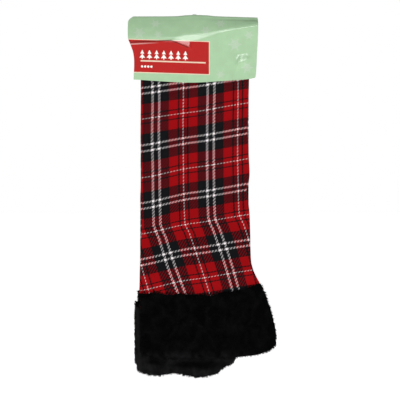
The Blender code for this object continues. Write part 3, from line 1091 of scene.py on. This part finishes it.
def board_material():
    """The uncoated back of the card: white pulp with faint fibres."""
    material, tree, shader = new_material("uncoated_white_board", Roughness=0.9)
    flat = add(tree, "UVMap", uv_map="flat")
    fibres = add(tree, "TexNoise", flat, None, 420.0, 5.0)
    tone = add(tree, "ValToRGB", fibres)
    tone.node.color_ramp.elements[0].color = colour("#DEDCD4")
    tone.node.color_ramp.elements[1].color = colour("#F2F1EC")
    tree.links.new(tone, shader.inputs["Base Color"])
    return material


printed_card, board = card_material(), board_material()
print("nodes in the printed card:", len(printed_card.node_tree.nodes))


# %% [markdown]
# The shape of the header
#
# One sheet of card is folded over the pack. It bows out from its crease to a sharp buckle, and hangs
# almost flat below it. The buckle runs level along the top of the panel and then climbs to the right
# edge. Two flat faces that meet make each buckle, because card bends only one way at a time. It is
# made in two halves that meet at the crease, because each half lifts about its own fold.

# %% Header outline
CARD_THICKNESS = 0.6 * MM
CARD_LEFT, CARD_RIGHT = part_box("header_crease")[0].x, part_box("header_crease")[1].x
CARD_DROP = -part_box("header_front_flap")[0].z
LEFT_EDGE = [(0, 9.0), (2, 6.0), (5, 2.8), (9, 0.9), (14, 0.4), (39, 0.9), (48, 4.2), (61, 8.8),
             (76, 10.6), (106, 9.6)]              # (drop, mm in from the left)
RIGHT_EDGE = [(0, 1.2), (4, 0.4), (30, 0.4), (62, 2.0), (97, 3.8), (102, 5.2), (106, 8.5)]
LOWER_EDGE = [(-108, 105.2), (-98, 105.8), (-20, 110.0), (20, 109.4), (92, 104.6), (103, 102.5)]
RIDGE = [(-108, 44.5), (-40, 43.5), (-20, 41.5), (0, 38.0), (30, 31.5), (57, 24.5), (80, 20.0), (103, 15.0)]
RIDGE_HEIGHT = [(-108, 14.0), (-30, 15.5), (0, 15.2), (57, 13.8), (103, 12.8)]
print("the buckle stands out up to", max(height for _, height in RIDGE_HEIGHT), "mm")


# %% Relief of the front half
def soft_least(a, b, reach):
    """The smaller of two depths, rounded where they meet."""
    blend = max(0.0, reach - abs(a - b)) / reach
    return min(a, b) - blend * blend * reach / 4


def front_depth(x, drop):
    """How far the front half stands from the pack's middle."""
    ridge = through(RIDGE, x / MM) * MM
    top_of_ridge = through(RIDGE_HEIGHT, x / MM) * MM
    share = drop / ridge
    bowed = math.sin(min(1.0, share) * math.pi / 2) + max(0.0, share - 1.0)
    upper = mix(1.8 * MM, top_of_ridge, mix(share, bowed, mix(0.55, 0.25, ramp(x, -0.06, 0.03))))
    upper = mix(card_rise(drop), upper, ramp(drop, 3 * MM, 9 * MM))
    lower = mix(top_of_ridge, 9.8 * MM, (drop - ridge) / (CARD_DROP - ridge))
    sharpness = mix(2.2, 5.5, bump(x, 0, 0.000, 0, 0.022, 1)) * MM
    depth = soft_least(upper, lower, sharpness)

    # A small three-sided face leans back where the level buckle turns into the climbing one, and
    # another one near the right edge. Each ends at a sharp step.
    foot = 42.5 * MM + 0.42 * (x + 0.0375)
    below = max(0.0, min(drop, foot) - ridge)
    leaning = (0.03 * below + 8.2 * below ** 2) * ramp(x, -0.042, -0.036) * ramp(-x, 0.003, 0.009)
    leaning *= ramp(foot + 1.5 * MM - drop, 0.0, 1.5 * MM)
    right_foot = 75 * MM - 0.5 * (x - 0.080)
    glaring = 0.20 * max(0.0, min(drop, right_foot) - 64 * MM) * bump(x, 0, 0.080, 0, 0.014, 1)
    glaring *= ramp(right_foot + 12 * MM - drop, 0.0, 12 * MM)
    depth += leaning + glaring

    # The buckle's foot on the left, a shallow fold at the lower right, and the left edge curling back.
    groove = math.exp(-abs(drop - ridge + 2.2 * MM) / (0.9 * MM)) * ramp(-x, 0.030, 0.045)
    fold = math.exp(-abs(x - 0.074 + 0.35 * (drop - 0.068)) / (4.5 * MM)) * ramp(drop, 0.050, 0.080)
    curl = ramp(-x, 0.082, 0.108) * ramp(drop, 0.036, 0.060)
    ripple = noise.noise(Vector((x * 24, drop * 28, 2.0))) * ramp(drop, 0.006, 0.030)
    crumple = noise.noise(Vector((x * 60, drop * 45, 6.0))) * bump(x, drop, 0.074, 0.076, 0.030, 0.030)
    depth += (-0.7 * groove + 1.3 * fold - 2.4 * curl + 0.8 * ripple + 1.6 * crumple) * MM
    return max(depth, card_rise(drop) + 0.1 * MM - 4 * MM * ramp(abs(x), 0.088, 0.100))


print("depth of the front half at its middle, down the card:",
      [round(front_depth(0.0, drop * MM) / MM, 1) for drop in (5, 20, 38, 70, 100)])


# %% Make the header
def back_depth(x, drop):
    """The back half is smoother: it lies against a wall of the box."""
    ripple = noise.noise(Vector((x * 12, drop * 14, 9.0))) * ramp(drop, 0.006, 0.030)
    bow = 0.5 * ramp(drop, 0.005, 0.02) + 0.5 + 0.5 * ripple
    return card_rise(drop) + bow * MM * ramp(drop, 0.0, 0.01)


def card_half(name, side):
    """Half of the header: side is -1 at the front and 1 at the back."""
    trim = 0.0 if side < 0 else 1.5 * MM

    def place(u, v):
        x = mix(CARD_LEFT, CARD_RIGHT, u if side < 0 else 1.0 - u)
        drop = (through(LOWER_EDGE, x / MM) * MM - trim) * v ** 1.15     # finer near the crease
        left = CARD_LEFT + through(LEFT_EDGE, drop / MM) * MM + trim * min(1.0, v * 20)
        right = CARD_RIGHT - through(RIGHT_EDGE, drop / MM) * MM - trim * min(1.0, v * 20)
        x = mix(left, right, u if side < 0 else 1.0 - u)
        top = -through(TOP_EDGE, x / MM) * MM
        z = top * (1.0 - ramp(drop, 0.0, 24 * MM)) - drop
        depth = front_depth(x, drop) if side < 0 else back_depth(x, drop)
        y = side * depth * min(1.0, drop / (0.2 * MM))
        return Vector((x, y, z)), (x if side < 0 else x + 0.4, drop if side < 0 else drop + 0.5)

    piece = bent_sheet(name, 200, 110, place, [printed_card, board])
    return thicken(piece, CARD_THICKNESS, -1.0, inner_material=1)


card_front = card_half("header_card_front", -1)
card_back = card_half("header_card_back", 1)
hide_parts("header_front_flap", "header_crease")
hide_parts("header_back_flap")
print("the card is", round((CARD_RIGHT - CARD_LEFT) / MM), "mm wide and", round(CARD_DROP / MM), "mm deep")


# %% [markdown]
# The tag pin
#
# A moulded nylon pin holds the header on the pack. Its short bar shows as a pale nub on the crease. A
# thread runs down through the cloth to a foot that turns across and can't pull back out. The bar and
# the foot are rods with rounded ends, made by bevelling the rims of a short cylinder.

# %% Tag pin
def nylon_material():
    """Moulded nylon: smooth, milky, a little glossy."""
    material, tree, shader = new_material(
        "clear_moulded_nylon", Roughness=0.25, IOR=1.53, Subsurface_Weight=0.15, Coat_Weight=0.1)
    place = add(tree, "TexCoord").node.outputs["Object"]
    cloud = add(tree, "TexNoise", place, None, 700.0, 2.0)
    tone = add(tree, "ValToRGB", cloud)
    tone.node.color_ramp.elements[0].color = colour("#C2CFC0")
    tone.node.color_ramp.elements[1].color = colour("#DDE6DA")
    tree.links.new(tone, shader.inputs["Base Color"])
    return material


def rod(bm, length, radius, centre, axis):
    """Adds a rod with rounded ends."""
    made = bmesh.ops.create_cone(
        bm, cap_ends=True, segments=16, radius1=radius, radius2=radius, depth=length)
    verts = made["verts"]
    own = set(verts)
    rims = [e for e in bm.edges if e.verts[0] in own and abs(e.verts[0].co.z - e.verts[1].co.z) < 1e-7]
    rounded = bmesh.ops.bevel(
        bm, geom=rims, offset=radius * 0.55, offset_type="OFFSET", segments=3, profile=0.5,
        affect="EDGES", material=-1, clamp_overlap=True)
    body = list({v for v in verts if v.is_valid} | set(rounded["verts"]))
    if axis == "X":
        bmesh.ops.rotate(bm, verts=body, cent=(0, 0, 0), matrix=Matrix.Rotation(math.pi / 2, 3, "Y"))
    bmesh.ops.translate(bm, verts=body, vec=centre)


pin_low, pin_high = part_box("tag_pin")
PIN_MIDDLE = (pin_low + pin_high) / 2
bm = bmesh.new()
rod(bm, 6.4 * MM, 0.75 * MM, (PIN_MIDDLE.x, 0, 0.55 * MM), "X")
rod(bm, pin_high.z - pin_low.z - 2 * MM, 0.3 * MM, (PIN_MIDDLE.x, 0, PIN_MIDDLE.z - 0.6 * MM), "Z")
rod(bm, 10 * MM, 0.45 * MM, (PIN_MIDDLE.x, 0, pin_low.z + 1.2 * MM), "X")
tag_pin = link("nylon_tag_pin", bm, [nylon_material()])
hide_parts("tag_pin")
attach(tag_pin, "header")
print("pin runs", round((pin_high.z - pin_low.z) / MM), "mm down")


# %% [markdown]
# Soft pieces
#
# A cloth leaf crosses the bend below the card, and each half of the card crosses its own fold. Here the
# cloth leaves and both card halves have their placement baked into their meshes; the sides and boxes
# worked out beside them are not used. The plush only rides on the hanging part.

# %% Bake the soft pieces
for leaf, piece in enumerate(cloth_leaves):
    left, right = leaf_sides(leaf, SWING_Z - 0.2)
    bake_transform(piece)
for leaf, piece in enumerate(plush_leaves):
    left, right = plush_outline(leaf, 0.5)
for node, strip in strips.items():
    low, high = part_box(node)
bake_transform(card_front)
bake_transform(card_back)
print("sheets:", len(cloth_leaves) + len(plush_leaves) + len(strips) + 1)


# %% [markdown]
# The studio
#
# The pack hangs just above a plain pale floor in a white room. The room is bright all round at eye
# level and dimmer overhead, so that faces which lean back look darker. One soft lamp, above and a
# little to the right, gives the varnish something to reflect. Another lights the back.

# %% Floor
FLOOR_GAP = 0.06
bm = bmesh.new()
bmesh.ops.create_grid(bm, x_segments=1, y_segments=1, size=40.0)
bmesh.ops.translate(bm, verts=bm.verts, vec=(0, 0, cad_box[0].z - FLOOR_GAP))
paper, _, _ = new_material(
    "white_studio_paper", Roughness=0.9, Base_Color=colour("#FBFBFB"),
    Emission_Color=colour("#FFFFFF"), Emission_Strength=0.85,
)
floor = link("floor", bm, [paper])
print("the floor lies at", round(cad_box[0].z - FLOOR_GAP, 3), "m")


# %% Room and lamps
def area_light(name, location, aim, width, height, energy):
    """A soft rectangular lamp, turned to face its aim."""
    data = bpy.data.lights.new(name, "AREA")
    data.shape = "RECTANGLE"
    data.size = width
    data.size_y = height
    data.energy = energy
    lamp = bpy.data.objects.new(name, data)
    lamp.location = location
    lamp.rotation_euler = (Vector(aim) - Vector(location)).to_track_quat("-Z", "Y").to_euler()
    bpy.context.scene.collection.objects.link(lamp)


world = bpy.data.worlds.new("white_room")
world.use_nodes = True
room = world.node_tree
upward = add(room, "SeparateXYZ", add(room, "TexCoord")).node.outputs[2]
dimming = add(room, "MapRange", upward, 0.14, 0.42, 1.0, 0.08)
room.links.new(dimming, room.nodes["Background"].inputs["Strength"])
room.nodes["Background"].inputs["Color"].default_value = (1.0, 1.0, 1.0, 1.0)
bpy.context.scene.world = world

middle = (cad_box[0] + cad_box[1]) / 2
area_light("key", (0.12, -1.75, 0.66), middle, 0.50, 0.36, 9)
area_light("back_key", (0.7, 1.75, 0.25), middle, 0.6, 0.6, 4)
print("lamps:", len(bpy.data.lights))

# %% Camera
camera_data = bpy.data.cameras.new("camera")
camera_data.lens = 150
camera_data.sensor_width = 36
camera_data.clip_end = 100
camera = bpy.data.objects.new("camera", camera_data)
VIEW_WIDTH = 0.648
VIEW_CENTRE = Vector((0.0089, 0.0, -0.2997))
distance = VIEW_WIDTH * camera_data.lens / camera_data.sensor_width
camera.location = VIEW_CENTRE - Vector((0, distance, 0))
camera.rotation_euler = (math.radians(90), 0, 0)
bpy.context.scene.collection.objects.link(camera)
bpy.context.scene.camera = camera
bpy.context.scene.view_settings.view_transform = "Standard"
print("the camera stands", round(distance, 2), "m in front of the pack")
